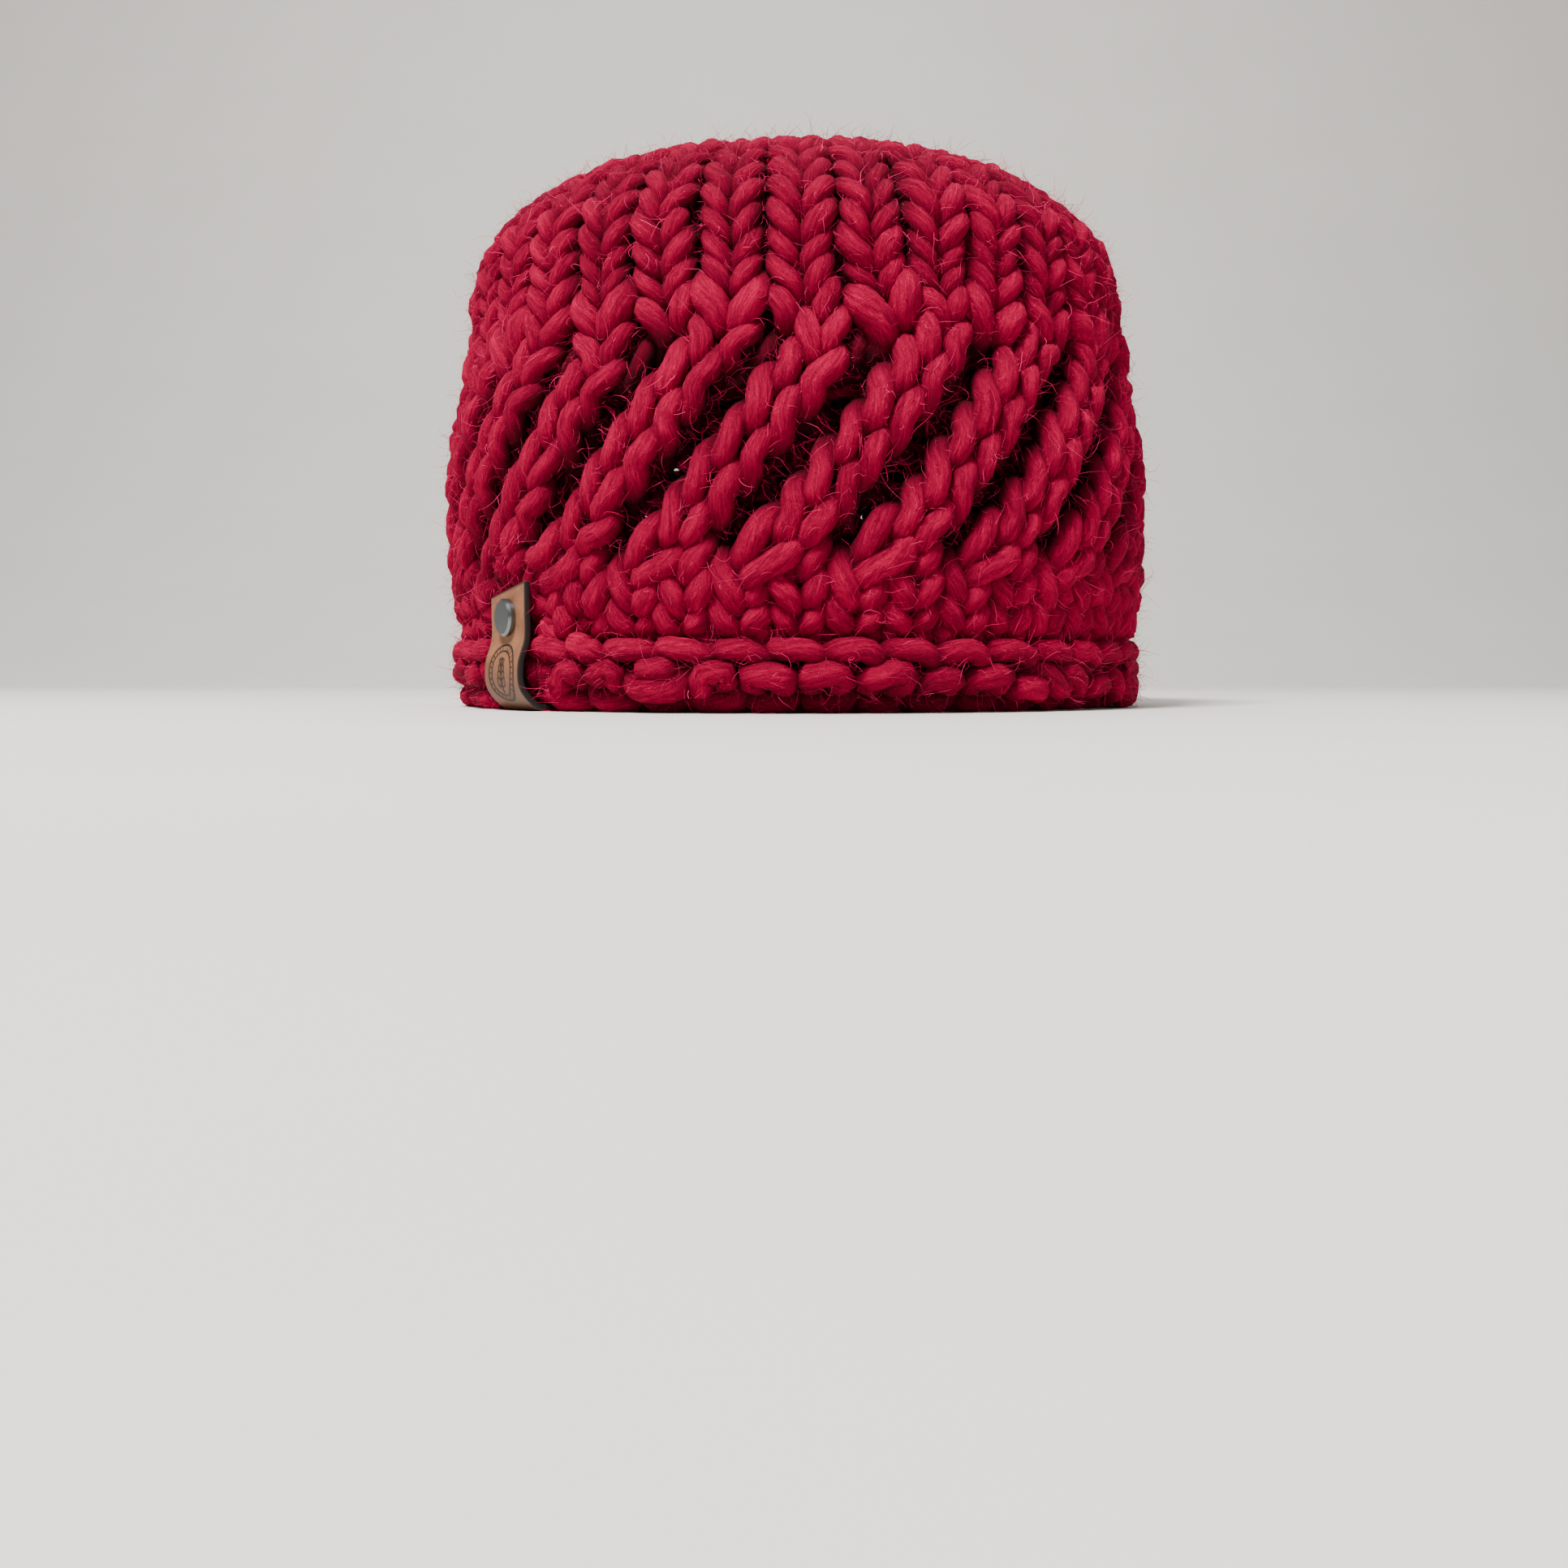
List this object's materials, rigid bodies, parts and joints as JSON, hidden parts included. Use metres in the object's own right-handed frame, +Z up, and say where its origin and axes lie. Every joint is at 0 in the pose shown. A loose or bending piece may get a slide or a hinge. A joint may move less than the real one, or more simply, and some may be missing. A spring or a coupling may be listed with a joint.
{
  "type": "knit beanie",
  "caption": "Chunky knitted beanie with a bias eyelet lace band, a rolled brim, a domed gathered crown and a folded leather tag held by a screw post.",
  "frame": {"origin": "centre of the brim's lowest plane, on the hat's axis", "axes": "+Z up through the crown, -Y the hat's front, +X the wearer's left when the front is worn forward"},
  "size_m": [0.1988, 0.1988, 0.153],
  "materials": {
    "wool": "loosely spun crimson wool, matt and hairy",
    "tag_leather": "tan vegetable-tanned leather with dark burnished edges",
    "gunmetal": "gunmetal plating, satin"
  },
  "bodies": {
    "hat": {"rolled_brim": "wool", "cast_on_edge": "wool", "lower_band": "wool", "lace_band": "wool", "decrease_round": "wool", "upper_band": "wool", "crown_shoulder": "wool", "crown_top": "wool", "crown_gather": "wool", "cast_on_tail": "wool", "closing_tail": "wool", "tag_strap": "tag_leather"},
    "screw_post": {"tag_post": "gunmetal"},
    "screw": {"tag_screw": "gunmetal"}
  },
  "joints": [
    {"name": "post_turn", "type": "hinge", "parent": "hat", "child": "screw_post", "pos_m": [-0.06805, -0.06346, 0.0234], "axis": [-0.8192, -0.5736, 0], "range_deg": [0, 1440]},
    {"name": "screw_draw", "type": "slide", "parent": "hat", "child": "screw", "axis": [0.8192, 0.5736, 0], "range_m": [0, 0.0028]}
  ],
  "couplings": [
    {"joint": "post_turn", "follows": "screw_draw", "rad_per_m": 8975.9}
  ]
}
